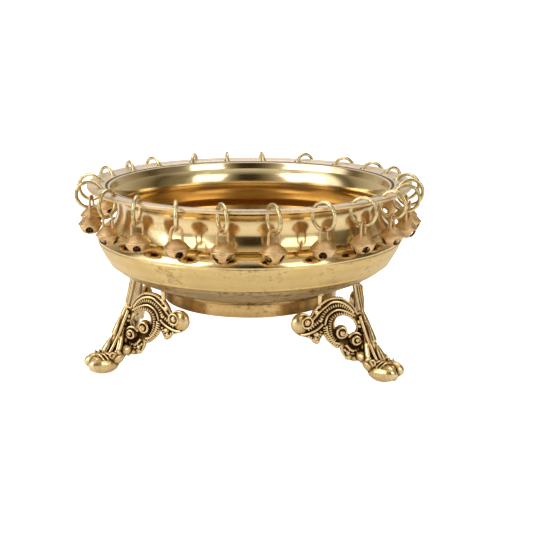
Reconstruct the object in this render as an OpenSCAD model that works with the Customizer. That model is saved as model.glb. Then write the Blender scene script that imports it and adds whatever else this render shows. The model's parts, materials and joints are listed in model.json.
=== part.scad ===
// Brass urli: a flanged bowl on three openwork legs, with a jump ring and a
// round bell hanging from each hole in its rim. Millimetres, +Z up. The origin
// is on the floor under the bowl's axis.

/* [Bowl] */
// Radius of the flat rim
rim_r = 127; // [126:0.5:128]
// Height of the rim above the floor
rim_h = 140; // [139:0.5:141]
// Inner radius of the flat rim
mouth_r = 109.3; // [108.8:0.1:109.8]
// How much lower the rim's inner edge lies than its outer edge
rim_dish = 2.1; // [1.5:0.1:2.5]
// Thickness of the rim and the wall
wall = 2.6; // [2.2:0.1:2.8]
// Radius of the neck at its narrowest
neck_r = 104.5; // [104:0.5:105]
// Radius of the belly at its widest
belly_r = 120.5; // [120:0.5:121]
// Radius of the ridge under the belly
ridge_r = 111.5; // [111:0.5:112]
// Outer radius of the turned foot ring
foot_r = 69.5; // [68:0.5:71]

/* [Rings] */
// Radius of the circle that the rim's holes lie on
hole_circle_r = 116.8; // [116.4:0.1:117.2]
// Diameter of a hole in the rim
hole_d = 5; // [4.9:0.1:5.2]
// Mean radius of a jump ring
ring_r = 9.75; // [9.7:0.05:9.8]
// Wire diameter of a jump ring
ring_wire = 2.4; // [2.3:0.05:2.45]
// How far below the rim the highest ring's centre hangs
ring_drop = 5.6; // [5.5:0.1:5.8]

/* [Bells] */
// Radius of a bell at its ridge
bell_r = 9.3; // [9:0.1:9.5]
// Height of a bell's dome above the ridge
dome_h = 6.7; // [6.4:0.1:6.8]
// Depth of a bell's cup below the ridge
cup_h = 7.6; // [7.2:0.1:7.8]
// Thickness of a bell's shell
bell_wall = 0.9; // [0.8:0.1:1.1]
// Diameter of a sound hole
window_d = 4.2; // [3.8:0.1:4.4]
// Diameter of the pellet inside a bell
pellet_d = 4.8; // [4:0.1:5]
// Mean radius of the wire eye on a bell
eye_r = 3.95; // [3.8:0.05:4.1]
// Wire diameter of the eye
eye_wire = 1.6; // [1.5:0.05:1.7]

/* [Legs] */
// Angle between a leg's radial plane and each scroll wing
wing_angle = 54; // [50:1:58]
// Thickness of a scroll wing
wing_t = 4.4; // [4:0.1:5]
// Distance from the bowl's axis to the line where the two wings meet
spine_r = 105; // [104:0.5:106]
// Width of the strap down the front of a leg
strap_w = 7; // [6:0.5:8]

/* [Hidden] */
$fn = 48;
// Gap between an eye and the ring that it hangs on
hang_gap = 0.15;
// Holes were marked out by eye, so each has its own azimuth in degrees.
hole_azimuths = [10, 25, 41, 57, 75, 90, 106, 122, 138, 153, 169, 185,
                 201, 218, 234, 250, 265, 282, 298, 314, 331, 345, 358];
// How far each ring is turned about its hole, in degrees
ring_twists = [0, 15, -20, -30, -30, 15, -8, -35, 0, -30, -30, -10,
               -8, 30, 34, 29, 33, 20, 27, 24, 10, 10, 0];
// How much lower than the highest ring each one hangs
ring_sags = [1.2, 1.1, 1, 0.4, 0, 0, 0, 0, 0, 0, 0, 0,
             0, 0.1, 0, 0.3, 0.5, 0.9, 0.8, 1.1, 1.1, 1.3, 1.3];
leg_azimuths = [210, 330, 90];

// Heights on the bowl, all set from the rim
cove_h = rim_h - 20.5;
groove_h = rim_h - 33.5;
crease_h = rim_h - 43;
ridge_h = rim_h - 60.5;
foot_top_h = rim_h - 81;
foot_h = rim_h - 92.5;
groove_r = belly_r - 10.5;
cove_bend_r = 18.7;
shoulder_bend_r = 11.4;
floor_r = foot_r - 4;

// Points along an arc about c, from angle a0 to a1 in n steps
function arc(c, r, a0, a1, n) =
    [for (i = [0:n]) c + r * [cos(a0 + (a1 - a0) * i / n), sin(a0 + (a1 - a0) * i / n)]];

// Outside of the bowl, from under the rim down to the foot ring
function outer_wall(grow) = concat(
    [[mouth_r + 4.5, rim_h - wall - 1.4]],
    arc([neck_r + grow + cove_bend_r, cove_h], cove_bend_r, 133, 221, 8),
    [[groove_r - 1 + grow, groove_h + 0.6]],
    arc([groove_r - 0.5 + grow, groove_h - shoulder_bend_r], shoulder_bend_r, 86, 14, 6),
    [[belly_r + grow, crease_h], [belly_r - 1.2 + grow, crease_h - 3],
     [belly_r - 4.9 + grow, crease_h - 10.5], [ridge_r + grow, ridge_h]]);

function under_belly(grow) = [
    [ridge_r - 1 + grow, ridge_h - 1.2 - grow], [ridge_r - 9 + grow, ridge_h - 6.8 - grow],
    [ridge_r - 21 + grow, ridge_h - 12.9 - grow], [ridge_r - 32 + grow, ridge_h - 17 - grow],
    [foot_r + 1 + grow, foot_top_h - grow]];

// A hoop of wire; its section has 12 sides
module hoop(r, wire) {
    rotate_extrude() translate([r, 0]) circle(d = wire, $fn = 12);
}

// Depth of the middle of a hole below the rim, and of ring k's centre below that
hole_mid = wall / 2 + rim_dish * (rim_r - hole_circle_r) / (rim_r - mouth_r);
function hang(k) = ring_drop + ring_sags[k] - hole_mid;

// Frame at ring k's centre, with X along its plane, away from its hole
module ring_frame(k) {
    rotate(hole_azimuths[k]) translate([hole_circle_r, 0, rim_h - hole_mid - hang(k)])
        rotate(ring_twists[k]) translate([sqrt(ring_r * ring_r - pow(hang(k), 2)), 0, 0])
            children();
}

module bowl_body() {
    rotate_extrude($fn = 96) polygon(concat(
        [[rim_r, rim_h], [rim_r, rim_h - wall]],
        outer_wall(0), under_belly(0),
        [[foot_r, foot_top_h - 1], [foot_r - 0.4, foot_h], [floor_r, foot_h],
         [floor_r, foot_top_h - 2.4], [0, foot_top_h - 3.4], [0, foot_top_h - 0.8],
         [floor_r - 4, foot_top_h + 1.2], [ridge_r - 24, ridge_h - 9.6],
         [ridge_r - 10.5, ridge_h - 3.4], [ridge_r - 3.4, ridge_h + 1.4],
         [belly_r - 7.3, crease_h - 9.6], [belly_r - 3.6, crease_h - 2.2]],
        arc([groove_r - 0.6, groove_h - shoulder_bend_r], shoulder_bend_r - 2.6, 22, 80, 4),
        arc([neck_r + cove_bend_r, cove_h], cove_bend_r + 2.6, 217, 141, 7),
        [[mouth_r, rim_h - rim_dish - 2.2], [mouth_r, rim_h - rim_dish]]));
}

module bowl() {
    color("goldenrod") difference() {
        bowl_body();
        for (a = hole_azimuths) rotate(a)
            translate([hole_circle_r, 0, rim_h - 8]) cylinder(d = hole_d, h = 12);
    }
}

// Solid that fills the bowl's outline and meets what stands under it
module bowl_outline() {
    rotate_extrude($fn = 96) polygon(concat(
        [[0, rim_h]], outer_wall(0), under_belly(0),
        [[foot_r, foot_top_h - 1], [foot_r - 0.4, foot_h], [0, foot_h]]));
}

// Side view of a wing: x runs out along it from the spine and y is the height.
module wing_outline() {
    difference() {
        union() {
            polygon([[-2, 14], [7, 16.5], [12.5, 19], [14, 23], [15.5, 26.5], [18.5, 24.3],
                     [22, 26], [27, 32], [31, 30.3], [36, 30.5], [37.5, 34], [44, 37.5],
                     [46, 49], [41, 51.5], [39.5, 54], [38, 57], [34.5, 60], [30, 61.8], [25, 63],
                     [20, 63.3], [15.5, 62], [11, 59], [6.5, 54], [0, 50]]);
            translate([33, 58]) square([4.5, 13]);
        }
        hull() {
            translate([16, 41.5]) circle(r = 6.6);
            translate([7.5, 39]) circle(r = 2.6);
        }
    }
}

module wing(side) {
    translate([spine_r, 0, 0]) rotate(side * (180 - wing_angle)) {
        rotate([90, 0, 0]) translate([0, 0, -wing_t / 2])
            linear_extrude(wing_t) wing_outline();
        // Ball at the free end of the scroll, and the two smaller volutes
        translate([49, side * 1.5, 45.3]) sphere(r = 7.9);
        translate([17.5, -side * 2, 37]) sphere(r = 5.3);
        translate([6.3, -side * 2.4, 30.4]) sphere(r = 5.5);
    }
}

// Strap up the front of the leg, from the paw to the underside of the bowl
module strap() {
    rotate([90, 0, 0]) translate([0, 0, -strap_w / 2]) linear_extrude(strap_w)
        polygon([[95.5, 76], [100, 76], [101, 66], [105, 52], [110.5, 40], [116, 28],
                 [124, 15], [118, 8], [112, 14], [106, 30], [101, 44], [97, 58]]);
}

// Drop-shaped leaf on the strap: a ball with a tapered stem above it
module leaf_drop(p, r, stem, tilt) {
    translate(p) rotate([0, tilt, 0]) {
        sphere(r = r);
        cylinder(r1 = r * 0.94, r2 = 1.2, h = stem);
    }
}

module paw() {
    intersection() {
        union() {
            for (side = [-1, 1]) {
                translate([128, side * 5.6, 7.8]) sphere(r = 8.5);
                translate([119, side * 5, 9.5]) sphere(r = 9);
            }
            translate([131.5, 0, 5]) sphere(r = 4.6);
            translate([111, 0, 15]) sphere(r = 8);
        }
        translate([90, -30, 0]) cube([60, 60, 30]);
    }
}

module leg_body() {
    wing(1);
    wing(-1);
    strap();
    leaf_drop([107.4, 0, 42.5], 3.4, 9, -24);
    leaf_drop([116.4, 0, 27.2], 3.8, 13, -26);
    leaf_drop([124, 0, 16.5], 3.6, 10, -30);
    paw();
}

module leg(k) {
    color("darkgoldenrod") rotate(leg_azimuths[k]) difference() {
        leg_body();
        bowl_outline();
    }
}

// Beads of filler metal where the strap and both lugs meet the bowl
module braze(k) {
    lug_s = 35.2;
    color("khaki") rotate(leg_azimuths[k]) difference() {
        union() {
            translate([97.6, 0, 71.5]) sphere(r = 5);
            for (side = [-1, 1])
                translate([spine_r - lug_s * cos(wing_angle), side * lug_s * sin(wing_angle), 67.5])
                    sphere(r = 4);
        }
        bowl_outline();
        leg_body();
    }
}

// Split jump ring: a hoop with a fine cut where its ends meet
module ring(k) {
    color("palegoldenrod") ring_frame(k) rotate([90, 0, 0])
        difference() {
            hoop(ring_r, ring_wire);
            rotate(20) translate([ring_r, 0, 0]) cube([4, 0.3, 4], center = true);
        }
}

// Half outline of a shell that is r wide, up high above the ridge and down deep below it
function shell(r, up, down) = concat(
    [for (i = [0:6]) [r * sin(i * 15), up * cos(i * 15)]],
    [for (i = [1:6]) [(r - 0.4) * cos(i * 15), -down * sin(i * 15)]]);

module bell_shell() {
    difference() {
        rotate_extrude() union() {
            difference() {
                polygon(shell(bell_r - 0.4, dome_h, cup_h));
                polygon(shell(bell_r - 0.4 - bell_wall, dome_h - bell_wall, cup_h - bell_wall));
            }
            translate([bell_r - 1.2, -0.45]) square([1.2, 0.9]);
        }
        for (a = [0:90:270]) rotate(a) {
            translate([3, 0, -3.4]) rotate([0, 90, 0]) cylinder(d = window_d, h = 8);
            translate([3, -0.5, -6.6]) cube([8, 1, 3]);
        }
    }
}

// The bell's origin is on its ridge. Its eye faces along X, the ring's own plane.
eye_h = ring_wire / 2 + hang_gap + eye_wire / 2 - eye_r;
ridge_drop = 12.95;

module bell(k) {
    color("peru") ring_frame(k) translate([0, 0, -ring_r - ridge_drop]) {
        rotate(45 + 7 * k) bell_shell();
        difference() {
            union() {
                translate([0, 0, ridge_drop + eye_h]) rotate([0, 90, 0])
                    hoop(eye_r, eye_wire);
                translate([0, 0, dome_h - 0.6]) cylinder(r1 = 2.4, r2 = 1.2, h = 1.3);
            }
            translate([0, 0, dome_h - 1.6]) cylinder(r = 4, h = 1.1);
        }
        translate([0, 0, -cup_h + bell_wall + pellet_d / 2 + 0.15]) sphere(d = pellet_d);
    }
}

bowl();
leg(0);  // leg_front_left
leg(1);  // leg_front_right
leg(2);  // leg_back
braze(0);  // braze_front_left
braze(1);  // braze_front_right
braze(2);  // braze_back
ring(0);  // ring_01
ring(1);  // ring_02
ring(2);  // ring_03
ring(3);  // ring_04
ring(4);  // ring_05
ring(5);  // ring_06
ring(6);  // ring_07
ring(7);  // ring_08
ring(8);  // ring_09
ring(9);  // ring_10
ring(10);  // ring_11
ring(11);  // ring_12
ring(12);  // ring_13
ring(13);  // ring_14
ring(14);  // ring_15
ring(15);  // ring_16
ring(16);  // ring_17
ring(17);  // ring_18
ring(18);  // ring_19
ring(19);  // ring_20
ring(20);  // ring_21
ring(21);  // ring_22
ring(22);  // ring_23
bell(0);  // bell_01
bell(1);  // bell_02
bell(2);  // bell_03
bell(3);  // bell_04
bell(4);  // bell_05
bell(5);  // bell_06
bell(6);  // bell_07
bell(7);  // bell_08
bell(8);  // bell_09
bell(9);  // bell_10
bell(10);  // bell_11
bell(11);  // bell_12
bell(12);  // bell_13
bell(13);  // bell_14
bell(14);  // bell_15
bell(15);  // bell_16
bell(16);  // bell_17
bell(17);  // bell_18
bell(18);  // bell_19
bell(19);  // bell_20
bell(20);  // bell_21
bell(21);  // bell_22
bell(22);  // bell_23
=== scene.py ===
"""Looks of the brass urli: a turned and polished bowl on three cast scroll legs,
with a bent-wire jump ring and a sandy-domed round bell in every hole of its rim.

Shapes are drawn in millimetres in the CAD frame and stored in metres.
"""
import json
import random
from math import atan2, cos, dist, exp, pi, radians, sin, sqrt

import bmesh
import bpy
import numpy as np
from mathutils import Matrix, Vector, noise
from mathutils.geometry import tessellate_polygon


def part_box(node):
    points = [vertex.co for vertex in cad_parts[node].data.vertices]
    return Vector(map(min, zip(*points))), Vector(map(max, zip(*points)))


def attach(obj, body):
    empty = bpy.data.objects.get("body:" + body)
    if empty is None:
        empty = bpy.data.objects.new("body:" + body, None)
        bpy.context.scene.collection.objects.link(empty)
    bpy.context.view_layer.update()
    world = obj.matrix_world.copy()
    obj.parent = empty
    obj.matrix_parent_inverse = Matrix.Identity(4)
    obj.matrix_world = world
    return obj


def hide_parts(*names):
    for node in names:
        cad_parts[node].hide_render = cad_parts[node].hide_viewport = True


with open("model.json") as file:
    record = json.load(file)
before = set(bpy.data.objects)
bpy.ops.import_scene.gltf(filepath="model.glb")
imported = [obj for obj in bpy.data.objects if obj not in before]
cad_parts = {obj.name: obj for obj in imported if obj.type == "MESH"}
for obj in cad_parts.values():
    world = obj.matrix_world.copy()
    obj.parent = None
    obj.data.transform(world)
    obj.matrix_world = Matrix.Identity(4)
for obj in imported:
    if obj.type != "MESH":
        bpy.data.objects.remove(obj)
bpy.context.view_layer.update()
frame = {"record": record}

MM = 0.001
SEED = 11

# ---- sizes from the frame

bowl_low, bowl_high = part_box("bowl")
RIM_R = bowl_high.x / MM
RIM_H = bowl_high.z / MM
FOOT_H = bowl_low.z / MM
JOINTS = {j["name"]: j for j in frame["record"]["behaviour"]["joints"]}
COUNT = sum(name.startswith("ring_") for name in JOINTS)
RING_R = 9.75
RING_WIRE = 2.9
LEG_AZIMUTHS = {"leg_front_left": 210, "leg_front_right": 330, "leg_back": 90}
CASTING_VOXEL = 0.34

# Camera: where it stands round the bowl, in degrees and millimetres, and where it looks
CAMERA_AZIMUTH = 6.0
CAMERA_DISTANCE = 830.0
CAMERA_HEIGHT = 276.6
CAMERA_PITCH = 13.99
CAMERA_YAW = 0.9
CAMERA_LENS = 71.84


# ---- mesh helpers


def linked(name, data):
    """A new object in the scene that holds the data."""
    made = bpy.data.objects.new(name, data)
    bpy.context.scene.collection.objects.link(made)
    return made


def mesh_object(name, points, faces, smooth=True):
    """A mesh object from points in millimetres."""
    mesh = bpy.data.meshes.new(name)
    mesh.from_pydata([tuple(c * MM for c in p) for p in points], [], faces)
    mesh.validate()
    if smooth:
        mesh.shade_smooth()
    return linked(name, mesh)


def arc(cx, cy, r, a0, a1, n):
    """Points along an arc from angle a0 to a1, in degrees."""
    angles = np.radians(np.linspace(a0, a1, n + 1))
    return [(cx + r * cos(a), cy + r * sin(a)) for a in angles]


def lathe(profile, segments, closed):
    """Points and faces of an outline of (radius, height) turned about Z."""
    points, faces = [], []
    rows = len(profile)
    for i in range(segments):
        a = 2 * pi * i / segments
        points += [(r * cos(a), r * sin(a), z) for r, z in profile]
    for i in range(segments):
        j = (i + 1) % segments
        for k in range(rows if closed else rows - 1):
            m = (k + 1) % rows
            faces.append((i * rows + k, j * rows + k, j * rows + m, i * rows + m))
    return points, faces


def bar_faces(rows, sides, closed=False):
    """Faces of a bar of rows of points, capped at both ends unless it closes on itself."""
    faces = []
    for i in range(rows if closed else rows - 1):
        j = (i + 1) % rows
        for k in range(sides):
            m = (k + 1) % sides
            faces.append((i * sides + k, i * sides + m, j * sides + m, j * sides + k))
    if not closed:
        faces.append(tuple(range(sides))[::-1])
        faces.append(tuple((rows - 1) * sides + k for k in range(sides)))
    return faces


def prism_faces(base, sides):
    """Faces of a closed prism whose lower and then upper points start at index base."""
    return [tuple(base + i for i in face) for face in bar_faces(2, sides)]


def apply_modifiers(piece):
    """Bakes the piece's modifiers into its mesh."""
    graph = bpy.context.evaluated_depsgraph_get()
    mesh = bpy.data.meshes.new_from_object(piece.evaluated_get(graph))
    old = piece.data
    piece.modifiers.clear()
    piece.data = mesh
    bpy.data.meshes.remove(old)


def cut(piece, cutter):
    """Takes the cutter's volume out of the piece, then deletes the cutter."""
    tool = piece.modifiers.new("cut", "BOOLEAN")
    tool.operation = "DIFFERENCE"
    tool.solver = "EXACT"
    tool.object = cutter
    apply_modifiers(piece)
    bpy.data.objects.remove(cutter)


def fuse_skin(piece, rounds):
    """Fuses the piece's closed parts into one skin, then smooths it."""
    fuse = piece.modifiers.new("fuse", "REMESH")
    fuse.mode = "VOXEL"
    fuse.voxel_size = CASTING_VOXEL * MM
    smooth = piece.modifiers.new("smooth", "SMOOTH")
    smooth.iterations = rounds
    apply_modifiers(piece)


# ---- materials


class Nodes:
    """Short ways to add and join shader nodes in one material."""

    def __init__(self, name):
        self.material = bpy.data.materials.new(name)
        self.material.use_nodes = True
        self.tree = self.material.node_tree
        self.tree.nodes.clear()
        self.output = self.add("ShaderNodeOutputMaterial")
        self.surface = self.add("ShaderNodeBsdfPrincipled")
        self.join(self.surface.outputs[0], self.output.inputs["Surface"])

    def add(self, kind, **settings):
        node = self.tree.nodes.new(kind)
        for key, value in settings.items():
            setattr(node, key, value)
        return node

    def join(self, source, target):
        self.tree.links.new(source, target)

    def value(self, socket, x):
        """Feeds x, a number, a tuple or another node's output, into a socket."""
        if isinstance(x, bpy.types.NodeSocket):
            self.join(x, socket)
        else:
            socket.default_value = x

    def math(self, operation, *values):
        node = self.add("ShaderNodeMath", operation=operation)
        for socket, x in zip(node.inputs, values):
            self.value(socket, x)
        return node.outputs[0]

    def place(self, scale=(1, 1, 1)):
        """Object coordinates in metres, stretched by scale."""
        where = self.add("ShaderNodeTexCoord").outputs["Object"]
        mapping = self.add("ShaderNodeMapping")
        mapping.inputs["Scale"].default_value = scale
        self.join(where, mapping.inputs["Vector"])
        return mapping.outputs[0]

    def turned(self):
        """Coordinates that change only with radius and height, for turning lines."""
        split = self.add("ShaderNodeSeparateXYZ")
        self.join(self.add("ShaderNodeTexCoord").outputs["Object"], split.inputs[0])
        x, y, z = split.outputs
        across = self.math("SQRT", self.math("ADD", self.math("MULTIPLY", x, x),
                                             self.math("MULTIPLY", y, y)))
        merge = self.add("ShaderNodeCombineXYZ")
        self.join(across, merge.inputs[0])
        self.join(z, merge.inputs[2])
        return merge.outputs[0]

    def noise(self, where, scale, detail=3.0, roughness=0.5):
        node = self.add("ShaderNodeTexNoise")
        self.join(where, node.inputs["Vector"])
        node.inputs["Scale"].default_value = scale
        node.inputs["Detail"].default_value = detail
        node.inputs["Roughness"].default_value = roughness
        return node.outputs["Fac"]

    def ramp(self, fac, *stops):
        """A colour ramp whose stops are (position, colour)."""
        node = self.add("ShaderNodeValToRGB")
        ramp = node.color_ramp
        while len(ramp.elements) < len(stops):
            ramp.elements.new(0.5)
        for element, (position, colour) in zip(ramp.elements, stops):
            element.position = position
            element.color = colour if len(colour) == 4 else (*colour, 1)
        self.join(fac, node.inputs[0])
        return node.outputs[0]

    def range(self, x, low, high, to_low, to_high):
        node = self.add("ShaderNodeMapRange")
        for socket, value in zip(node.inputs, (x, low, high, to_low, to_high)):
            self.value(socket, value)
        return node.outputs[0]

    def mix(self, fac, a, b, blend="MIX"):
        node = self.add("ShaderNodeMix", data_type="RGBA", blend_type=blend)
        self.value(node.inputs["Factor"], fac)
        for socket, x in ((node.inputs[6], a), (node.inputs[7], b)):
            self.value(socket, x if isinstance(x, bpy.types.NodeSocket) else (*x, 1))
        return node.outputs[2]

    def bump(self, height, distance, strength=1.0, under=None):
        node = self.add("ShaderNodeBump")
        node.inputs["Strength"].default_value = strength
        node.inputs["Distance"].default_value = distance
        self.join(height, node.inputs["Height"])
        if under is not None:
            self.join(under, node.inputs["Normal"])
        return node.outputs[0]

    def finish(self, colour, roughness, normal=None, metallic=1.0):
        self.value(self.surface.inputs["Base Color"], colour)
        self.value(self.surface.inputs["Roughness"], roughness)
        self.surface.inputs["Metallic"].default_value = metallic
        if normal is not None:
            self.join(normal, self.surface.inputs["Normal"])
        return self.material


# Turns the stretched highlights of turned brass upright
QUARTER_TURN = 0.25

# The bowl's finishes: name, light, dark and stained colour, (smoothest, roughest), depth of the
# turning lines in metres, share of stains, scale of the patches, and stretch of the highlights
BOWL_FINISHES = (
    ("rim_top", (0.92, 0.82, 0.70), (0.82, 0.69, 0.56), (0.50, 0.36, 0.26),
     (0.26, 0.38), 2.5e-5, 0.25, 30, 0.0),
    ("polished_brass", (0.82, 0.66, 0.37), (0.70, 0.52, 0.26), (0.42, 0.25, 0.10),
     (0.11, 0.20), 1.2e-5, 0.35, 18, 0.6),
    ("brushed_belly", (0.80, 0.61, 0.29), (0.64, 0.46, 0.19), (0.36, 0.21, 0.07),
     (0.34, 0.46), 3.0e-5, 0.7, 26, 0.3),
    # The underside and the base are painted much darker, as shade on faces that turn downward, over some
    # real tarnish
    ("under_belly", (0.68, 0.50, 0.22), (0.32, 0.20, 0.08), (0.12, 0.06, 0.02),
     (0.30, 0.48), 3.0e-5, 0.9, 16, 0.2),
    ("foot_ring", (0.70, 0.49, 0.22), (0.44, 0.27, 0.10), (0.18, 0.09, 0.03),
     (0.26, 0.40), 2.5e-5, 0.6, 22, 0.3),
    ("inside_wall", (0.84, 0.70, 0.43), (0.74, 0.59, 0.33), (0.55, 0.38, 0.16),
     (0.10, 0.18), 1.0e-5, 0.3, 20, 0.5),
    ("inside_well", (0.70, 0.45, 0.17), (0.58, 0.34, 0.10), (0.38, 0.20, 0.05),
     (0.22, 0.36), 1.5e-5, 0.4, 20, 0.3),
    ("rim_edge", (0.80, 0.61, 0.36), (0.68, 0.48, 0.26), (0.42, 0.26, 0.12),
     (0.28, 0.42), 2.0e-5, 0.4, 40, 0.0),
    # The groove near the mouth is painted near black, as the shade inside it
    ("groove_painted_shade", (0.16, 0.09, 0.05), (0.08, 0.045, 0.025), (0.05, 0.02, 0.01),
     (0.45, 0.60), 2.0e-5, 0.5, 60, 0.0),
)


def turned_brass(name, light, dark, stain, rough, lines, stains, blotch, anisotropic):
    """Lathe-turned brass: tone that drifts in rings and patches, fine lines and stains."""
    n = Nodes(name)
    rings = n.noise(n.turned(), 900, 4, 0.65)
    broad = n.noise(n.turned(), 140, 2, 0.5)
    patches = n.noise(n.place(), blotch, 5, 0.6)
    speck = n.noise(n.place((1, 1, 1.6)), 210, 3, 0.7)
    tone = n.math("ADD", n.math("MULTIPLY", patches, 0.6), n.math("MULTIPLY", broad, 0.4))
    colour = n.ramp(tone, (0.36, dark), (0.62, light))
    mask = n.range(n.math("MULTIPLY", patches, speck), 0.27, 0.38, 0.0, stains)
    colour = n.mix(mask, colour, stain)
    fine = n.range(rings, 0.3, 0.7, 0.94, 1.0)
    shade = n.add("ShaderNodeCombineColor")
    for socket in shade.inputs:
        n.value(socket, fine)
    colour = n.mix(1.0, colour, shade.outputs[0], "MULTIPLY")
    roughness = n.range(n.math("ADD", n.math("MULTIPLY", rings, 0.5),
                               n.math("MULTIPLY", patches, 0.5)), 0.35, 0.65, *rough)
    normal = n.bump(rings, lines)
    normal = n.bump(speck, lines * 0.8, 0.5, normal)
    n.surface.inputs["Anisotropic"].default_value = anisotropic
    if anisotropic:
        tangent = n.add("ShaderNodeTangent", direction_type="RADIAL", axis="Z")
        n.join(tangent.outputs[0], n.surface.inputs["Tangent"])
        n.surface.inputs["Anisotropic Rotation"].default_value = QUARTER_TURN
    return n.finish(colour, roughness, normal)


def wire_brass():
    """Drawn wire, satin, with faint tarnish."""
    n = Nodes("ring_wire")
    patches = n.noise(n.place(), 260, 4, 0.6)
    colour = n.ramp(patches, (0.32, (0.36, 0.26, 0.11)), (0.50, (0.66, 0.54, 0.29)),
                    (0.75, (0.78, 0.69, 0.44)))
    scratch = n.noise(n.place((1, 1, 0.3)), 1800, 3, 0.7)
    return n.finish(colour, n.range(patches, 0.3, 0.7, 0.36, 0.22), n.bump(scratch, 2e-5, 0.6))


def bell_brass(name, grit):
    """Coppery satin brass with the sandy grain of a cast and tumbled bell; grit is its depth."""
    n = Nodes(name)
    patches = n.noise(n.place(), 170, 4, 0.6)
    grain = n.noise(n.place(), 1500, 5, 0.75)
    grain_big = n.noise(n.place(), 620, 3, 0.6)
    colour = n.ramp(patches, (0.30, (0.50, 0.30, 0.13)), (0.50, (0.72, 0.49, 0.25)),
                    (0.72, (0.80, 0.60, 0.36)))
    pits = n.range(grain, 0.34, 0.50, 1.0, 0.0)
    colour = n.mix(n.math("MULTIPLY", pits, 0.7 * grit), colour, (0.34, 0.19, 0.08))
    height = n.math("ADD", n.math("MULTIPLY", grain, 0.6), n.math("MULTIPLY", grain_big, 0.8))
    return n.finish(colour, n.range(grain_big, 0.3, 0.7, 0.34, 0.50),
                    n.bump(height, 3.2e-4 * grit, 0.9))


def bell_inside():
    """Unpolished inside of a bell, painted dark brown to near black as the shade within it, in a mottle.
    """
    n = Nodes("bell_inside")
    shade_mottle = n.noise(n.place(), 240, 4, 0.6)
    colour = n.ramp(shade_mottle, (0.35, (0.045, 0.016, 0.007)), (0.65, (0.17, 0.07, 0.03)))
    return n.finish(colour, n.range(shade_mottle, 0.3, 0.7, 0.5, 0.7), n.bump(shade_mottle, 1.5e-4, 0.7), 0.8)


def pellet_iron():
    """Rusty iron."""
    n = Nodes("pellet_iron")
    rust = n.noise(n.place(), 420, 4, 0.6)
    colour = n.ramp(rust, (0.35, (0.10, 0.05, 0.03)), (0.65, (0.30, 0.16, 0.09)))
    return n.finish(colour, n.range(rust, 0.3, 0.7, 0.45, 0.7), n.bump(rust, 8e-5), 0.7)


def pale_floor():
    """A white table that is lit through from below, so that it shows almost no shadow."""
    n = Nodes("pale_floor")
    grain = n.noise(n.place(), 40, 2)
    n.surface.inputs["Emission Color"].default_value = (1, 1, 1, 1)
    seen = n.add("ShaderNodeLightPath").outputs["Is Camera Ray"]
    n.value(n.surface.inputs["Emission Strength"], n.range(seen, 0.0, 1.0, 0.16, 0.9))
    return n.finish(n.ramp(grain, (0.3, (0.86, 0.86, 0.86)), (0.7, (0.88, 0.88, 0.88))), 0.6,
                    metallic=0.0)


# ---- bowl

# The turned outline: metal, mouth, dished rim, and the radii and roundings below it
WALL = 2.6
MOUTH_R = 109.3
DISH = 2.1
NECK_R = 104.5
BELLY_R = 120.5
RIDGE_R = 111.5
FOOT_R = 69.5
COVE_R = 18.7
SHOULDER_R = 11.4
HOLE_CIRCLE_R = 116.8
HOLE_D = 5.0
HOLE_SIDES = 20
BOWL_SEGMENTS = 288
OUTLINE_STEP = 2.2
BOWL_SHARP = 34


def rim_height(r):
    """Height of the dished top of the rim at radius r."""
    return RIM_H - DISH * (RIM_R - r) / (RIM_R - MOUTH_R)


def on_rim(r, sunk=0):
    """A point on the top of the rim, or sunk below it."""
    return r, rim_height(r) - sunk


def groove(r, width, depth):
    """A turned V groove in the top of the rim, from its inner side outward."""
    return [on_rim(r - width / 2), on_rim(r, depth), on_rim(r + width / 2)]


def near(r, h, *steps):
    """Outline points at steps of (radius, height) away from one corner."""
    return [(r + dr, h + dh) for dr, dh in steps]


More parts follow.
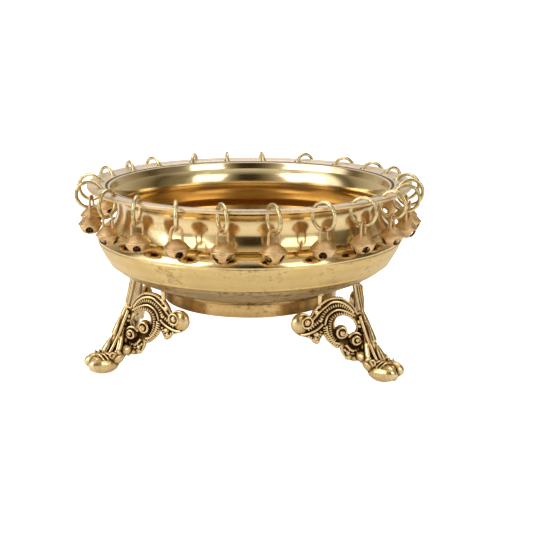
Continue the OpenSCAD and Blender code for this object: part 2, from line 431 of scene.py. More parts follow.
def bowl_sections():
    """The bowl's closed outline in stretches of (finish, points), from the mouth's edge outward."""
    cove_h = RIM_H - 20.5
    step_h = RIM_H - 33.5
    crease_h = RIM_H - 43
    ridge_h = RIM_H - 60.5
    under_h = RIM_H - 81
    step_r = BELLY_R - 10.5
    lip = near(MOUTH_R, rim_height(MOUTH_R), (0.15, -0.35)) + [on_rim(MOUTH_R + 0.5)]
    # A groove whose finish is painted near black, as the shade inside it
    shaded_groove = groove(112.6, 0.9, 0.5)
    top = ([shaded_groove.pop(), on_rim(115.3)] + groove(HOLE_CIRCLE_R, 0.35, 0.12)
           + groove(122.5, 0.3, 0.08) + [on_rim(RIM_R - 0.9)])
    edge = (arc(RIM_R - 0.5, RIM_H - 0.55, 0.5, 80, 0, 3)
            + arc(RIM_R - 0.5, RIM_H - WALL + 0.5, 0.5, 0, -80, 3))
    neck = ([(120, RIM_H - WALL - 0.65), (MOUTH_R + 6, RIM_H - WALL - 1.4)]
            + arc(NECK_R + COVE_R, cove_h, COVE_R, 131, 221, 26)
            + near(step_r, step_h, (-1.05, 0.7), (-1.2, 0.3), (-0.7, 0.05))
            + arc(step_r - 0.5, step_h - SHOULDER_R, SHOULDER_R, 85, 16, 16)
            + near(BELLY_R, crease_h, (-0.12, 0.5)))
    belly = (near(BELLY_R, crease_h, (-0.55, 0.15), (-0.25, -0.35), (-0.45, -1.4), (-1.2, -3.2),
                  (-2.7, -6.6), (-4.9, -10.8), (-6.9, -14.2))
             + near(RIDGE_R, ridge_h, (0.5, 0.9), (0.35, 0.1)))
    # The underside, whose finish is painted darker as shade where the belly turns downward
    under = (near(RIDGE_R, ridge_h, (-0.1, -0.35), (-1.6, -1.3), (-5, -4.2), (-9, -6.9), (-15, -10.1),
                  (-21, -12.9), (-27, -15.2), (-32, -17), (-37, -18.7))
             + near(FOOT_R, under_h, (0.9, 0.2), (-0.2, -0.4)))
    foot = (near(FOOT_R, under_h, (-0.1, -1.3), (0.25, -1.8), (0, -6))
            + near(FOOT_R, FOOT_H, (-0.35, 0.5), (-0.75, 0), (-3.6, 0), (-4, 0.4))
            + near(FOOT_R, under_h, (-4, -3.4), (-5, -2.9)))
    base = [(34, under_h - 3.1), (0.01, under_h - 3.4)]
    well = ([(0.01, under_h - 0.8), (34, under_h - 0.3), (FOOT_R - 8, under_h + 1.2)]
            + near(RIDGE_R, ridge_h, (-37, -15.2), (-24, -9.9), (-17, -6.6), (-10.5, -3.3),
                   (-6, -0.6), (-3.4, 1.6))
            + near(BELLY_R, crease_h, (-9.4, -12.6), (-7.3, -9.6), (-5, -5.4), (-3.7, -2.0))
            + arc(step_r - 0.6, step_h - SHOULDER_R, SHOULDER_R - WALL, 20, 84, 12))
    inside = (arc(NECK_R + COVE_R, cove_h, COVE_R + WALL, 219, 141, 22)
              + near(MOUTH_R, rim_height(MOUTH_R), (-1.4, -5.2), (-0.5, -2.6), (-0.1, -1.0)))
    return (("rim_top", lip), ("groove_painted_shade", shaded_groove), ("rim_top", top), ("rim_edge", edge),
            ("polished_brass", neck), ("brushed_belly", belly), ("under_belly", under),
            ("foot_ring", foot), ("under_belly", base), ("inside_well", well),
            ("inside_wall", inside))


def hole_drill():
    """An upright pin through the rim at the hole of every ring."""
    points, faces = [], []
    for k in range(1, COUNT + 1):
        hole = ring_frame(f"ring_{k:02d}")["hole"]
        faces += prism_faces(len(points), HOLE_SIDES)
        for z in (RIM_H - 9, RIM_H + 3):
            for i in range(HOLE_SIDES):
                a = 2 * pi * i / HOLE_SIDES
                points.append((hole.x + HOLE_D / 2 * cos(a), hole.y + HOLE_D / 2 * sin(a), z))
    return mesh_object("hole_drill", points, faces, False)


def bowl():
    """The turned bowl: its outline in short steps, each with the finish of its section."""
    names = [finish[0] for finish in BOWL_FINISHES]
    outline, slots = [], []
    for finish, points in bowl_sections():
        for p in points:
            start = outline[-1] if outline else p
            gap = dist(p, start)
            steps = int(gap / OUTLINE_STEP) + 1 if gap > OUTLINE_STEP else 1
            for i in range(1, steps):
                t = i / steps
                outline.append((start[0] + (p[0] - start[0]) * t, start[1] + (p[1] - start[1]) * t))
            outline.append(p)
            slots += [names.index(finish)] * steps
    piece = mesh_object("bowl_turned", *lathe(outline, BOWL_SEGMENTS, True))
    for finish in BOWL_FINISHES:
        piece.data.materials.append(turned_brass(*finish))
    for i, face in enumerate(piece.data.polygons):
        face.material_index = slots[i % len(slots)]
    cut(piece, hole_drill())
    piece.data.shade_smooth()
    piece.data.set_sharp_from_angle(angle=radians(BOWL_SHARP))
    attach(piece, "bowl")
    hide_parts("bowl")


# ---- rings and bells


def ring_frame(node):
    """Centre, outward and sideways directions of a ring, and its hole, in millimetres."""
    joint = JOINTS[node + "_swing"]
    centre = Vector(joint["pos_m"]) / MM
    side = Vector(joint["axis"]).normalized()
    out = Vector((0, 0, 1)).cross(side)
    reach = sqrt(RING_R ** 2 - (rim_height(HOLE_CIRCLE_R) - WALL / 2 - centre.z) ** 2)
    return {"centre": centre, "out": out, "side": side, "hole": centre - out * reach}


def bent_wire(name, centres, radii, sections=14, closed=True):
    """A wire swept through centres, each with its own two half widths."""
    count = len(centres)
    points = []
    middle = sum(centres, Vector()) / count
    for i, c in enumerate(centres):
        after = centres[(i + 1) % count if closed else min(i + 1, count - 1)]
        before = centres[i - 1 if closed else max(i - 1, 0)]
        ahead = (after - before).normalized()
        outward = (c - middle).normalized()
        outward = (outward - ahead * outward.dot(ahead)).normalized()
        across = ahead.cross(outward)
        flat_out, flat_across = radii[i]
        for k in range(sections):
            a = 2 * pi * k / sections
            p = c + outward * (flat_out * cos(a)) + across * (flat_across * sin(a))
            points.append(tuple(p))
    return mesh_object(name, points, bar_faces(count, sections, closed))


def jump_ring(node, material, rng):
    """A hand-closed ring: a little out of round, with a lumpy crimp where its ends meet."""
    at = ring_frame(node)
    steps = 120
    crimp = rng.uniform(-40, 60)
    squeeze = rng.uniform(-0.012, 0.012)
    wave = rng.uniform(0, 360)
    centres, radii = [], []
    for i in range(steps):
        a = 360 * i / steps
        lobe = 1 + squeeze * cos(radians(2 * a + wave)) + 0.008 * cos(radians(3 * a + 2 * wave))
        away = abs((a - crimp + 180) % 360 - 180)
        lump = exp(-(away / 11) ** 2)
        seam = exp(-(away / 1.6) ** 2)
        knots = sin(radians(away * 16)) * lump
        r = RING_R * lobe + 0.16 * knots
        bow = 0.22 * sin(radians(a + wave)) + 0.14 * knots
        direction = at["out"] * cos(radians(a)) + Vector((0, 0, sin(radians(a))))
        centres.append(at["centre"] + direction * r + at["side"] * bow)
        jitter = 1 + 0.02 * sin(radians(7 * a + wave))
        base = RING_WIRE / 2 * 0.98 * jitter
        radii.append((base * (1 + 0.16 * lump - 0.45 * seam),
                      base * (1 + 0.22 * lump - 0.40 * seam)))
    piece = bent_wire(node + "_wire", centres, radii)
    piece.data.materials.append(material)
    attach(piece, node)
    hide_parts(node)


BELL_R = 9.3
CUP_R = 8.35
DOME_H = 6.7
CUP_H = 7.6
BELL_WALL = 0.9
RIDGE_DROP = 12.95
EYE_R = 3.95
EYE_WIRE = 1.9
WINDOW_R = 2.95
PELLET_R = 2.35
BELL_SEGMENTS = 72
BELL_SHARP = 40
# Each bell is turned on its ring by this many degrees more than the one before
BELL_TURN_STEP = 7
# Where the dome starts above the ridge, and the cup below it
BRIM_H = 0.75
CUP_DROP = 0.95


def dome_height(r):
    """Height of the low, rounded upper half at radius r, above the ridge."""
    return BRIM_H + (DOME_H - BRIM_H) * (1 - (r / (BELL_R - 0.6)) ** 2.1)


def cup_curve(radius, depth, angles, round_r=1.0, round_h=1.0):
    """The lower half's curve below the ridge, at angles from level down to straight down."""
    return [(radius * cos(a) ** round_r, -CUP_DROP - (depth - CUP_DROP) * sin(a) ** round_h)
            for a in map(radians, angles)]


def bell_outline():
    """The shell's half outline from the top, outside and in: dome, brim with cup, and inside."""
    inner_r = CUP_R - BELL_WALL
    dome = [(r, dome_height(r)) for r in np.linspace(0.5, BELL_R - 0.75, 18)]
    brim = [(BELL_R - 0.25, 0.72), (BELL_R, 0.4), (BELL_R + 0.05, 0), (BELL_R - 0.15, -0.4),
            (CUP_R + 0.25, -0.75)]
    cup = cup_curve(CUP_R, CUP_H, range(0, 88, 6), 0.82, 1.1)
    inner_cup = cup_curve(inner_r, CUP_H - BELL_WALL, range(87, 0, -8))
    inner_dome = [(r, dome_height(r) - BELL_WALL) for r in np.linspace(inner_r, 0.5, 10)]
    return dome, brim + cup, inner_cup + inner_dome


def window_cutter():
    """Four round windows, each with a slit that runs down from it, to cut out of a shell."""
    window = (arc(0, -0.85 - WINDOW_R, WINDOW_R, -28, 208, 16)
              + [(-0.7, -6.6), (-0.5, -7.3), (0.5, -7.3), (0.7, -6.6)])
    points, faces = [], []
    for turn in range(4):
        spin = Matrix.Rotation(radians(90 * turn), 3, "Z")
        faces += prism_faces(len(points), len(window))
        for depth in (2.7, 12):
            points += [tuple(spin @ Vector((depth, y, z))) for y, z in window]
    return mesh_object("window_cutter", points, faces, False)


def bell_master():
    """One bell shell at the origin with its sound holes cut, as a mesh to copy."""
    stretches = bell_outline()
    outline = sum(stretches, [])
    slots = [i for i, part in enumerate(stretches) for _ in part]
    points, faces = lathe(outline, BELL_SEGMENTS, False)
    rows = len(outline)
    face_slots = [slots[k] for _ in range(BELL_SEGMENTS) for k in range(rows - 1)]
    for end in (0, rows - 1):
        centre = len(points)
        points.append((0, 0, outline[end][1]))
        for i in range(BELL_SEGMENTS):
            j = (i + 1) % BELL_SEGMENTS
            a, b = i * rows + end, j * rows + end
            faces.append((a, b, centre) if end else (b, a, centre))
            face_slots.append(slots[end])
    shell = mesh_object("bell_master", points, faces)
    for material in (bell_brass("bell_dome", 1.0), bell_brass("bell_cup", 0.45), bell_inside()):
        shell.data.materials.append(material)
    shell.data.polygons.foreach_set("material_index", face_slots)
    cut(shell, window_cutter())
    bpy.context.scene.collection.objects.unlink(shell)
    return shell.data


def bell_eye(ring, centre, bend):
    """The hanging eye: an upturned U of wire whose feet sink into the dome."""
    top = centre + Vector((0, 0, RIDGE_DROP + RING_WIRE / 2 + 0.15 + EYE_WIRE / 2 - EYE_R))
    foot = dome_height(EYE_R) - 0.6 - (top.z - centre.z)
    bow = [(EYE_R * cos(a), EYE_R * sin(a)) for a in np.radians(np.linspace(0, 180, 25))]
    posts = [[(x * EYE_R * (1 + 0.05 * t), foot * t) for t in np.linspace(1, 0.1, 8)] for x in (1, -1)]
    route = posts[0] + bow + posts[1][::-1]
    centres = [top + ring["side"] * (x * (1 + bend)) + ring["out"] * (0.3 * bend * z)
               + Vector((0, 0, z)) for x, z in route]
    swell = [1 + 0.45 * max(0.0, z / foot - 0.55) for _, z in route]
    radii = [(EYE_WIRE / 2 * w, EYE_WIRE / 2 * w) for w in swell]
    return bent_wire("eye", centres, radii, 12, False)


def pellet(node, centre, offset, rust):
    """The loose iron pellet, at the bottom of its bell."""
    made = bmesh.new()
    bmesh.ops.create_icosphere(made, subdivisions=3, radius=PELLET_R * MM)
    for vertex in made.verts:
        vertex.co *= 1 + 0.03 * noise.noise(vertex.co / MM * 0.9 + offset)
        vertex.co += (centre + Vector((0, 0, -CUP_H + BELL_WALL + PELLET_R + 0.15))) * MM
    data = bpy.data.meshes.new(node + "_pellet")
    made.to_mesh(data)
    made.free()
    data.shade_smooth()
    data.materials.append(rust)
    piece = linked(node + "_pellet", data)
    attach(piece, node)


def bell(node, master, rust, rng):
    """A bell on its ring: dented shell with its wire eye, and the pellet inside."""
    ring = ring_frame(node.replace("bell", "ring"))
    centre = ring["centre"] - Vector((0, 0, RING_R + RIDGE_DROP))
    number = int(node[-2:]) - 1
    turn = Matrix.Rotation(atan2(ring["out"].y, ring["out"].x)
                           + radians(BELL_TURN_STEP * number), 3, "Z")
    offset = Vector([rng.uniform(-50, 50) for _ in range(3)])
    mesh = master.copy()
    mesh.name = node + "_shell"
    for vertex in mesh.vertices:
        # Broad dents and small lumps, in millimetres
        p = vertex.co / MM
        dent = noise.noise(p * 0.16 + offset) * 0.24 + noise.noise(p * 0.9 + offset) * 0.07
        p = p * (1 + dent / max(p.length, 4))
        vertex.co = (turn @ p + centre) * MM
    eye = bell_eye(ring, centre, rng.uniform(-0.03, 0.03))
    work = bmesh.new()
    work.from_mesh(mesh)
    work.from_mesh(eye.data)
    for face in work.faces[len(mesh.polygons):]:
        face.material_index = 1
    work.to_mesh(mesh)
    work.free()
    bpy.data.objects.remove(eye)
    mesh.shade_smooth()
    mesh.set_sharp_from_angle(angle=radians(BELL_SHARP))
    shell = linked(node + "_shell", mesh)
    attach(shell, node)
    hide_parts(node)
    pellet(node, centre, offset, rust)


def rings_and_bells():
    """Every ring with its bell; all the bells are dented copies of one master."""
    rng = random.Random(SEED)
    wire = wire_brass()
    rust = pellet_iron()
    master = bell_master()
    for k in range(1, COUNT + 1):
        jump_ring(f"ring_{k:02d}", wire, rng)
        bell(f"bell_{k:02d}", master, rust, rng)


# ---- legs

SPINE_R = 105
WING_TURN = radians(54)
LEG_KEEP = 0.45
FACE_LEVEL = 0.8

# Outline and opening of a scroll wing: distance out from the spine, and height
WING_OUTLINE = ((0, 12), (4, 11.5), (9, 12), (14.5, 15.5), (17.5, 20.5), (18, 23.5), (21, 23),
                (25, 26), (29, 30), (32, 34.5), (34.5, 32), (36, 28.5), (39.5, 29), (43, 33),
                (48, 35), (54, 38), (56.5, 45), (53, 52), (46, 52.5), (42.5, 50.5), (40.5, 54),
                (38, 57.5), (33, 61.5), (27, 63.5), (20, 63), (14, 60.5), (9, 56), (5, 50), (1, 46))
WING_OPENING = ((5, 37), (7, 42), (11.5, 46.5), (16.5, 48.5), (21, 47.5), (23, 44), (22.5, 40),
                (17, 37.5), (12, 33.5), (8, 33))
# Smooth ribs of the scroll: route and half width
WING_RIBS = (
    (((8, 50), (12, 55), (17, 58.5), (22.5, 60), (27, 59.5), (31, 57), (35, 54), (38.5, 50.5),
      (42, 47)), 1.1),
    (((7, 47.5), (12, 50.5), (16.5, 52.5), (21.5, 53.5), (26, 52), (29, 49.5), (30.5, 46),
      (31.5, 42.5)), 0.9),
    (((30, 42), (29, 36.5), (27, 32.5), (23.5, 28.5), (18.5, 26.5)), 0.9),
    (((33, 43.5), (37.5, 40), (42, 38), (46, 37), (51, 37)), 1.2),
    (((20, 62.5), (28, 62.5), (34.5, 59), (39, 55)), 0.8),
    (((3, 18), (7.5, 17.5), (12, 19), (15.5, 22)), 0.9),
    (((7.5, 19.5), (11, 22), (14, 25.5)), 1.2),
)
# Toothed rows: route, pitch, half length across the row, half width along it
WING_ROWS = (
    (((17, 62), (23, 63), (28, 62.5), (31.5, 61), (35, 58.5), (38, 56), (40, 53.5)), 1.9, 1.4, 0.75),
    (((8.5, 50.5), (12.5, 53.5), (16.5, 56), (20.5, 57), (24.5, 56.5), (28, 55), (31, 53), (33, 50),
      (35, 45)), 1.9, 1.6, 0.65),
    (((9, 46.5), (12.5, 49), (16.5, 50), (20.5, 50), (23.5, 49), (26, 46.5), (27, 43), (27, 39.5),
      (26.5, 36), (25, 32.5), (22.5, 29.5)), 1.8, 1.5, 0.6),
    (((31.5, 41.5), (31, 38), (30, 35.5), (28, 32.5), (26, 29.5), (22.5, 26.5), (20.5, 25)),
     1.9, 1.5, 0.65),
    (((33.5, 48.5), (36, 46), (39, 44), (42, 42), (45, 40.5)), 2.1, 1.7, 0.8),
    (((0, 35), (-1.5, 31.5), (-2, 28), (-1.5, 24.5), (0, 22), (3.5, 20.5), (7.5, 20), (11.5, 21)),
     1.9, 1.3, 0.7),
    (((34, 38.5), (35, 35.5), (37, 33), (37, 30)), 2.0, 1.3, 0.8),
    (((37, 30), (39.5, 30.5), (42.5, 34), (45.5, 35.5)), 2.0, 1.3, 0.8),
)
# Single knobs on a wing: place (out, up, proud) and half sizes
WING_KNOBS = (
    ((3.5, 42.5, 1), (1.7, 2.2, 1.6)), ((3, 39, 1), (1.5, 1.7, 1.4)),
    ((38, 53, 0.6), (2.2, 2.0, 1.6)), ((38, 36, 0.6), (2.6, 2.0, 2.0)),
    ((39, 32.5, 0.6), (2.0, 2.4, 1.8)), ((12, 18.5, 1), (1.8, 1.4, 1.4)),
    ((5, 14.5, 0.5), (4.5, 2.8, 2.2)), ((11.5, 15.5, 0.3), (3.4, 2.6, 1.8)),
)

# Route of the strap down the middle of the leg: distance from the bowl's axis, and height
STRAP_ROUTE = ((97.5, 71), (99.5, 62), (102.5, 51), (106, 44), (110, 36), (114.5, 27), (121, 14.5))
# Drops on the strap: where each starts and ends, and its half width
STRAP_DROPS = (((102, 53), (107.5, 40.5), 3.1), ((108, 43), (115, 26), 3.3),
               ((116, 26.5), (124, 14), 3.4))
DROP_STEPS = 16
# Solid bars behind the strap that close it against the wings: route, half width, half thickness
STRAP_WEBS = (
    (((103, 13), (103.2, 30), (103.6, 47)), 3.6, 2.6),
    (((106, 15), (107, 28), (105.2, 43)), 3.4, 3.0),
    (((112, 13), (111, 22), (108.5, 34)), 4.4, 3.6),
    (((117, 11), (114.5, 19), (112, 27)), 5.0, 3.2),
)
# Lug at the top of a wing that meets the bowl, and its distance from the spine
LUG_OUT = 35.2
LUG_ROUTE = ((35.5, 56, -0.5), (LUG_OUT, 62, -0.4), (LUG_OUT, 67.5, -0.2))


def smooth_path(points, closed=False, per_span=6):
    """A Catmull-Rom curve through the points."""
    knots = [Vector((*p, 0)) if len(p) == 2 else Vector(p) for p in points]
    count = len(knots)
    path = []
    for i in range(count if closed else count - 1):
        four = [i + k if closed else min(max(i + k, 0), count - 1) for k in (-1, 0, 1, 2)]
        a, b, c, d = (knots[k % count] for k in four)
        for k in range(per_span):
            t = k / per_span
            path.append(0.5 * (2 * b + (c - a) * t + (2 * a - 5 * b + 4 * c - d) * t ** 2
                               + (3 * b - a - 3 * c + d) * t ** 3))
    if not closed:
        path.append(knots[-1])
    return path


def spaced(path, pitch):
    """Points a pitch apart along a path, each with the path's direction there."""
    found, walked, wanted = [], 0.0, pitch / 2
    for a, b in zip(path, path[1:]):
        step = (b - a).length
        while step and walked + step >= wanted:
            found.append((a.lerp(b, (wanted - walked) / step), (b - a).normalized()))
            wanted += pitch
        walked += step
    return found


def drop_swell(t):
    """How wide a drop is at t along it, as a share of its widest."""
    return 0.28 + 0.72 * sin(1.57 * t ** 0.8)


def drop_width(half, t):
    """Half width of a drop at t along it, rounded off at its end."""
    return half * drop_swell(t) * min(1, (1.03 - t) * 6) ** 0.5


class Casting:
    """Gathers the closed pieces of one leg, in millimetres, with the leg along +X."""

    def __init__(self):
        self.points = []
        self.faces = []
        self.side = 0

    def leg_point(self, p):
        """From a wing's (out, up, proud) to the leg's frame; the middle's points stay."""
        if not self.side:
            return tuple(p)
        out, up, proud = p
        return (SPINE_R - out * cos(WING_TURN) + proud * sin(WING_TURN),
                self.side * (out * sin(WING_TURN) + proud * cos(WING_TURN)), up)

    def add(self, points, faces):
        base = len(self.points)
        self.points += [self.leg_point(p) for p in points]
        self.faces += [tuple(base + i for i in face) for face in faces]

    def tube(self, path, wide, thick=None, across=(0, 0, 1), sections=10):
        """A bar along a path; wide, along across, and thick are half sizes or functions of the way."""
        thick = wide if thick is None else thick
        rows = len(path)
        points = []
        for i, centre in enumerate(path):
            ahead = (path[min(i + 1, rows - 1)] - path[max(i - 1, 0)]).normalized()
            w = Vector(across)
            w = (w - ahead * w.dot(ahead)).normalized()
            v = ahead.cross(w)
            t = i / (rows - 1)
            half_w = wide(t) if callable(wide) else wide
            half_v = thick(t) if callable(thick) else thick
            for k in range(sections):
                a = 2 * pi * k / sections
                points.append(centre + w * (half_w * cos(a)) + v * (half_v * sin(a)))
        self.add(points, bar_faces(rows, sections))

    def lobe(self, centre, halves, ahead=(1, 0, 0), across=(0, 0, 1)):
        """An egg with half sizes along ahead, beside it, and along across."""
        ahead = Vector(ahead).normalized()
        centre = Vector(centre)
        rows = 10
        path = [centre - ahead * (halves[0] * cos(pi * (i + 0.2) / (rows + 0.4)))
                for i in range(rows + 1)]
        rise = [sin(pi * (i + 0.2) / (rows + 0.4)) for i in range(rows + 1)]
        self.tube(path, lambda t: halves[2] * rise[round(t * rows)],
                  lambda t: halves[1] * rise[round(t * rows)], across, 14)

    def plate(self, outline, opening, low, high):
        """A flat plate between two levels, with an opening through it."""
        rims = [outline, opening]
        flat = outline + opening
        triangles = tessellate_polygon(rims)
        count = len(flat)
        points = [(p.x, p.y, level) for level in (low, high) for p in flat]
        faces = [tuple(level + i for i in t) for level in (0, count) for t in triangles]
        start = 0
        for rim in rims:
            for i in range(len(rim)):
                j = (i + 1) % len(rim)
                faces.append((start + i, start + j, count + start + j, count + start + i))
            start += len(rim)
        self.add(points, faces)

    def volute(self, centre, radius, start, turns, rise):
        """A domed snail: a bar that winds in and up round an eye."""
        out, up = centre
        path = []
        for i in range(61):
            t = i / 60
            a = radians(start + 360 * turns * t)
            r = radius * (1 - 0.76 * t)
            path.append(Vector((out + r * cos(a), up + r * sin(a),
                                FACE_LEVEL + (rise - 1) * sqrt(t))))
        self.tube(path, lambda t: radius * 0.21 * (1 - 0.25 * t))
        self.lobe((out, up, 0), (radius * 0.92, radius * 0.92, rise * 0.92))
        self.lobe((out, up, rise), (radius * 0.27,) * 3)

    def wing(self, side):
        """One openwork scroll wing with its ribs, toothed rows, snails and ball end."""
        self.side = side
        self.plate(smooth_path(WING_OUTLINE, True), smooth_path(WING_OPENING, True), -1.9, FACE_LEVEL)
        for route, half in WING_RIBS:
            self.tube([p + Vector((0, 0, FACE_LEVEL)) for p in smooth_path(route)], half * 1.1, half)
        for route, pitch, long, short in WING_ROWS:
            for p, ahead in spaced(smooth_path(route), pitch):
                self.lobe(p + Vector((0, 0, FACE_LEVEL)), (short, long, 1.25), ahead)
        for centre, halves in WING_KNOBS:
            self.lobe(centre, halves)
        self.volute((18, 36.5), 5.2, 200, 1.6, 5.2)
        self.volute((6.5, 29.5), 5.5, 20, 1.7, 5.4)
        # Ball end: a smooth crescent that wraps a ringed eye
        self.lobe((50.5, 45, -1), (6.9, 8.0, 5.0))
        ring = [Vector((46.2 + 4.1 * cos(a), 46.4 + 4.1 * sin(a), 3.3))
                for a in np.radians(np.linspace(0, 360, 33))]
        self.tube(ring, 0.9, 0.8)
        self.lobe((46.2, 46.4, 2.6), (2.6, 2.6, 2.2))
        self.tube(smooth_path(LUG_ROUTE), 2.0, 1.7)

    def middle(self):
        """The strap with its drops and leaves, and the paw."""
        self.side = 0
        beside = (0, 1, 0)
        route = smooth_path([(r, 0, h) for r, h in STRAP_ROUTE])
        self.tube(route, lambda t: 3.5 - 0.5 * sin(pi * t), 1.9, beside, 14)
        upper = [p for p in route if p.z > 50]
        for y in (-2.9, 2.9):
            self.tube([p + Vector((1.2, y, 0.4)) for p in upper], 0.9, 1.1, beside)
        self.tube([p + Vector((1.5, 0, 0.5)) for p in upper], 1.0, 0.9, beside)
        for (r0, h0), (r1, h1), half in STRAP_DROPS:
            start, end = Vector((r0, 0, h0)), Vector((r1, 0, h1))
            drop = [start.lerp(end, i / DROP_STEPS) for i in range(DROP_STEPS + 1)]
            self.tube(drop, lambda t: drop_width(half, t), lambda t: 0.85 * drop_width(half, t),
                      beside, 14)
            # Three ridges down its face
            face = Vector((end.z - start.z, 0, start.x - end.x)).normalized() * -1
            for y in (-0.5, 0, 0.5):
                bar = [drop[i] + Vector((0, y * half * (0.35 + 0.65 * i / DROP_STEPS), 0))
                       + face * (0.62 * half * drop_swell(i / DROP_STEPS))
                       for i in range(2, DROP_STEPS - 1)]
                self.tube(bar, 0.55, 0.75, beside, 8)
        for y in (-1, 1):
            # S-shaped ridge beside the drops, then the curled side leaf and its lobes
            self.tube(smooth_path(((104, 3.2 * y, 47), (108.5, 4.2 * y, 38), (112, 3.4 * y, 29),
                                   (117, 3.8 * y, 20), (122, 5 * y, 13))), 1.2, 1.3, beside)
            self.tube(smooth_path(((110, 3 * y, 28), (112, 5.4 * y, 22), (114.5, 7.4 * y, 16.5),
                                   (117.5, 8 * y, 12))), 1.3, 2.2, beside)
            self.lobe((114.5, 7.6 * y, 15.5), (2.2, 1.8, 3.2), (0.6, 0, -1))
            self.lobe((119, 8.2 * y, 13), (2.4, 1.7, 2.0), (1, 0, -0.5))
            for i in range(4):
                a = radians(-20 + 40 * i)
                self.lobe((124.5 + 2.2 * sin(a), (4.6 + 0.9 * cos(a)) * y, 14.6 - 1.5 * i),
                          (1.0, 1.0, 1.0))
            # Long toe lobe with creases across it, a heel lobe behind, and a curl on its top
            self.lobe((125.6, 5.4 * y, 7.0), (12.2, 6.8, 7.0), (1, 0.05 * y, 0.06))
            self.lobe((117, 5 * y, 10.4), (9.5, 5.4, 5.6), (1, 0, -0.42))
            self.lobe((108.5, 4 * y, 15.5), (7, 4.4, 4.4), (1, 0, -0.5))
            for shift in (0, 3.2, 6.4):
                self.tube(smooth_path(((130 - shift, 1.5 * y, 14.6), (128.5 - shift, 6 * y, 15.2),
                                       (126 - shift, 10.2 * y, 11.8))), 0.75)
            self.volute_on_paw(y)
        self.lobe((132, 0, 4.6), (4.0, 3.2, 4.4))
        self.lobe((130.5, 0, 9.6), (3.4, 2.2, 2.6))
        for web, wide, thick in STRAP_WEBS:
            self.tube(smooth_path([(r, 0, h) for r, h in web]), wide, thick, beside, 12)

    def volute_on_paw(self, y):
        """A small curl on the shoulder of the paw."""
        curl = []
        for i in range(25):
            t = i / 24
            a = radians(200 - 430 * t)
            r = 2.9 * (1 - 0.65 * t)
            curl.append(Vector((119.5 + r * cos(a), (8.8 + 0.5 * t) * y, 14 + r * sin(a))))
        self.tube(curl, 0.85, 0.85, (0, 1, 0), 8)

    def fuse(self, name):
        """The gathered pieces as one thinned skin that knows its relief."""
        piece = mesh_object(name, self.points, self.faces, False)
        fuse_skin(piece, 2)
        keep_outer_skin(piece.data)
        mark_relief(piece.data)
        thin = piece.modifiers.new("thin", "DECIMATE")
        thin.ratio = LEG_KEEP
        apply_modifiers(piece)
        return piece


def keep_outer_skin(mesh):
    """Deletes every shell of the mesh but the largest."""
    work = bmesh.new()
    work.from_mesh(mesh)
    unseen = set(work.verts)
    shells = []
    while unseen:
        heap = [unseen.pop()]
        shell = [heap[0]]
        while heap:
            for edge in heap.pop().link_edges:
                for vertex in edge.verts:
                    if vertex in unseen:
                        unseen.remove(vertex)
                        heap.append(vertex)
                        shell.append(vertex)
        shells.append(shell)
    shells.sort(key=len)
    for shell in shells[:-1]:
        bmesh.ops.delete(work, geom=shell, context="VERTS")
    work.to_mesh(mesh)
    work.free()


def read(items, name, width, kind=float):
    """An attribute of a mesh's vertices or edges, as rows of numbers."""
    rows = np.empty(len(items) * width, dtype=kind)
    items.foreach_get(name, rows)
    return rows.reshape(-1, width)


def mark_relief(mesh, rounds=40, scale=0.42):
    """Stores how far each point stands out of its smoothed surroundings, for the patina."""
    count = len(mesh.vertices)
    here = read(mesh.vertices, "co", 3)
    a, b = read(mesh.edges, "vertices", 2, int).T
    degree = np.maximum(np.bincount(a, minlength=count) + np.bincount(b, minlength=count), 1)
    soft = here.copy()
    for _ in range(rounds):
        total = np.column_stack([np.bincount(a, soft[b, k], count) + np.bincount(b, soft[a, k], count)
                                 for k in range(3)])
        soft = total / degree[:, None]
    proud = ((here - soft) * read(mesh.vertices, "normal", 3)).sum(1) / (scale * MM)
    level = np.clip(0.5 + 0.5 * proud, 0, 1)
    mark = mesh.color_attributes.new("relief", "FLOAT_COLOR", "POINT")
    mark.data.foreach_set("color", np.column_stack([level, level, level, np.ones(count)]).ravel())


def cast_brass():
    """Cast brass with dark patina in its hollows and rubbed bright on its high places."""
    n = Nodes("cast_leg_brass")
    relief = n.add("ShaderNodeVertexColor", layer_name="relief").outputs[0]
    patches = n.noise(n.place(), 95, 4, 0.6)
    grain = n.noise(n.place(), 900, 4, 0.7)
    level = n.math("ADD", relief, n.math("MULTIPLY", n.math("SUBTRACT", patches, 0.5), 0.35))
    colour = n.ramp(level, (0.22, (0.035, 0.014, 0.004)), (0.38, (0.12, 0.06, 0.02)),
                    (0.50, (0.38, 0.235, 0.09)), (0.64, (0.62, 0.44, 0.20)), (0.85, (0.82, 0.64, 0.36)))
    rough = n.range(level, 0.25, 0.75, 0.62, 0.27)
    height = n.math("ADD", grain, n.math("MULTIPLY", patches, 0.8))
    return n.finish(colour, rough, n.bump(height, 6e-5, 0.7))


def legs():
    """One leg casting, copied to its three places round the bowl."""
    casting = Casting()
    for side in (-1, 1):
        casting.wing(side)
    casting.middle()
    master = casting.fuse("leg_master")
    master.data.shade_smooth()
    master.data.materials.append(cast_brass())
    for node, azimuth in LEG_AZIMUTHS.items():
        mesh = master.data.copy()
        mesh.transform(Matrix.Rotation(radians(azimuth), 4, "Z"))
        piece = linked(node + "_casting", mesh)
        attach(piece, "bowl")
        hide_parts(node)
    bpy.data.objects.remove(master)


def filler_brass():
    """Pale, lumpy brazing metal with a dull skin."""
    n = Nodes("filler_brass")
    lumps = n.noise(n.place(), 320, 4, 0.6)
    colour = n.ramp(lumps, (0.32, (0.42, 0.30, 0.19)), (0.6, (0.76, 0.66, 0.50)))
    return n.finish(colour, n.range(lumps, 0.3, 0.7, 0.5, 0.34), n.bump(lumps, 2.5e-4, 0.8))


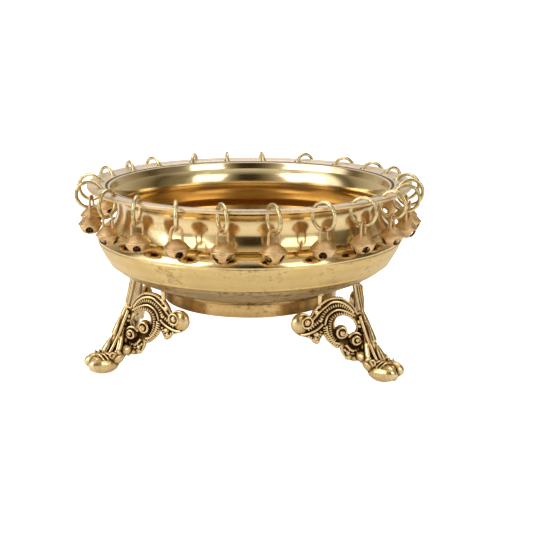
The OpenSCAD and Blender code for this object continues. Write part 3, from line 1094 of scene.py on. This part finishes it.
def brazes():
    """Blobs of filler where each strap and each pair of lugs meet the bowl."""
    rng = random.Random(SEED + 1)
    material = filler_brass()
    spots = [((97.6, 0, 70.6), 4.6)]
    for side in (-1, 1):
        spots.append(((SPINE_R - LUG_OUT * cos(WING_TURN),
                       side * LUG_OUT * sin(WING_TURN), 67.2), 3.8))
    for node, azimuth in LEG_AZIMUTHS.items():
        turn = Matrix.Rotation(radians(azimuth), 3, "Z")
        blobs = Casting()
        for centre, size in spots:
            for _ in range(5):
                shift = Vector([rng.uniform(-0.35, 0.35) * size for _ in range(3)])
                shift.z *= 0.35
                halves = [size * rng.uniform(0.5, 0.75) for _ in range(2)]
                blobs.lobe(turn @ (Vector(centre) + shift), halves + [size * rng.uniform(0.3, 0.42)])
        piece = mesh_object(node.replace("leg", "braze") + "_blobs", blobs.points, blobs.faces)
        fuse_skin(piece, 4)
        piece.data.shade_smooth()
        piece.data.materials.append(material)
        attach(piece, "bowl")
        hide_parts(node.replace("leg", "braze"))


# ---- camera, lights, floor


def camera():
    """The camera in front of the bowl, above its rim."""
    lens = bpy.data.cameras.new("camera")
    lens.sensor_width = 36
    lens.lens = CAMERA_LENS
    made = linked("camera", lens)
    a = radians(CAMERA_AZIMUTH)
    made.location = (CAMERA_DISTANCE * sin(a) * MM, -CAMERA_DISTANCE * cos(a) * MM,
                     CAMERA_HEIGHT * MM)
    turn = Matrix.Rotation(a - radians(CAMERA_YAW), 4, "Z")
    made.rotation_euler = (turn @ Matrix.Rotation(radians(90 - CAMERA_PITCH), 4, "X")).to_euler()
    bpy.context.scene.camera = made


def softbox(name, azimuth, elevation, distance, width, height, power):
    """A soft area light that faces the bowl; azimuth is measured from the camera's side."""
    light = bpy.data.lights.new(name, "AREA")
    light.shape = "RECTANGLE"
    light.size = width
    light.size_y = height
    light.energy = power
    made = linked(name, light)
    a = radians(CAMERA_AZIMUTH + azimuth)
    e = radians(elevation)
    back = Vector((sin(a) * cos(e), -cos(a) * cos(e), sin(e)))
    aim = Vector((0, 0, RIM_H * 0.6 * MM))
    made.location = aim + back * distance
    made.rotation_euler = (-back).to_track_quat("-Z", "Y").to_euler()


# Brightness of the studio round the bowl: degrees to the right of the camera, and level
SURROUND = ((-170, 0.70), (-140, 0.62), (-118, 0.40), (-106, 0.15), (-98, 0.28), (-89, 1.5),
            (-68, 1.5), (-57, 0.60), (-50, 0.52), (-45, 1.35), (-37, 1.1), (-29, 0.60),
            (-19, 0.27), (-11, 0.11), (-5, 0.04), (9, 0.04), (17, 0.24), (28, 0.74), (37, 0.62),
            (44, 0.5), (50, 1.05), (56, 0.62), (66, 0.28), (82, 0.22), (98, 0.09), (116, 0.30),
            (145, 0.55))
SURROUND_TOP = 1.5
# The bands give way to an even ceiling between these heights of the view direction
CEILING_FROM, CEILING_FULL, CEILING_LEVEL = 0.62, 0.92, 0.8

# Azimuth, elevation, distance, width and height in metres, and power in watts
SOFTBOXES = {
    "left_softbox": (-58, 30, 1.6, 1.2, 1.0, 9),
    "right_softbox": (42, 28, 1.6, 0.8, 0.9, 5),
    "top_softbox": (170, 66, 1.8, 1.8, 1.4, 12),
}
FLOOR_HALF = 60000
FLOOR_Z = -0.05


def warm(level):
    """A grey that turns browner as it gets darker, as dim corners of a room do."""
    level /= SURROUND_TOP
    return (level, level ** 1.10, level ** 1.32, 1)


def studio():
    """White behind the bowl for the camera; for the metal, a surround of soft upright bands."""
    bpy.context.scene.view_settings.view_transform = "Standard"
    world = bpy.data.worlds.new("studio")
    bpy.context.scene.world = world
    world.use_nodes = True
    tree = world.node_tree
    tree.nodes.clear()
    link = tree.links.new
    out, seen, room, pick, path, where, split, angle, behind, share, bands, lift, ceiling = (
        tree.nodes.new("ShaderNode" + kind) for kind in (
            "OutputWorld", "Background", "Background", "MixShader", "LightPath", "TexCoord",
            "SeparateXYZ", "Math", "Math", "MapRange", "ValToRGB", "MapRange", "Mix"))
    # Angle of the view direction round the bowl, as a place on the ramp of bands
    link(where.outputs["Generated"], split.inputs[0])
    behind.operation = "MULTIPLY"
    behind.inputs[1].default_value = -1
    link(split.outputs[1], behind.inputs[0])
    angle.operation = "ARCTAN2"
    link(split.outputs[0], angle.inputs[0])
    link(behind.outputs[0], angle.inputs[1])
    link(angle.outputs[0], share.inputs[0])
    share.inputs[1].default_value = -pi
    share.inputs[2].default_value = pi
    link(share.outputs[0], bands.inputs[0])
    while len(bands.color_ramp.elements) < len(SURROUND):
        bands.color_ramp.elements.new(0.5)
    for element, (turn, level) in zip(bands.color_ramp.elements, SURROUND):
        element.position = 0.5 + (turn + CAMERA_AZIMUTH) / 360
        element.color = warm(level)
    # The ceiling above the bands
    link(split.outputs[2], lift.inputs[0])
    lift.inputs[1].default_value = CEILING_FROM
    lift.inputs[2].default_value = CEILING_FULL
    ceiling.data_type = "RGBA"
    link(lift.outputs[0], ceiling.inputs["Factor"])
    link(bands.outputs[0], ceiling.inputs[6])
    ceiling.inputs[7].default_value = warm(CEILING_LEVEL)
    link(ceiling.outputs[2], room.inputs["Color"])
    room.inputs["Strength"].default_value = SURROUND_TOP
    # White where the camera sees past everything
    seen.inputs["Color"].default_value = (1, 1, 1, 1)
    link(path.outputs["Is Camera Ray"], pick.inputs[0])
    link(room.outputs[0], pick.inputs[1])
    link(seen.outputs[0], pick.inputs[2])
    link(pick.outputs[0], out.inputs["Surface"])
    for name, box in SOFTBOXES.items():
        softbox(name, *box)


def floor():
    """A square of white table that reaches past everything the camera sees."""
    corners = [(x * FLOOR_HALF, y * FLOOR_HALF, FLOOR_Z) for x, y in ((-1, -1), (1, -1), (1, 1), (-1, 1))]
    ground = mesh_object("floor", corners, [(0, 1, 2, 3)], False)
    ground.data.materials.append(pale_floor())


camera()
studio()
floor()
bowl()
legs()
brazes()
rings_and_bells()
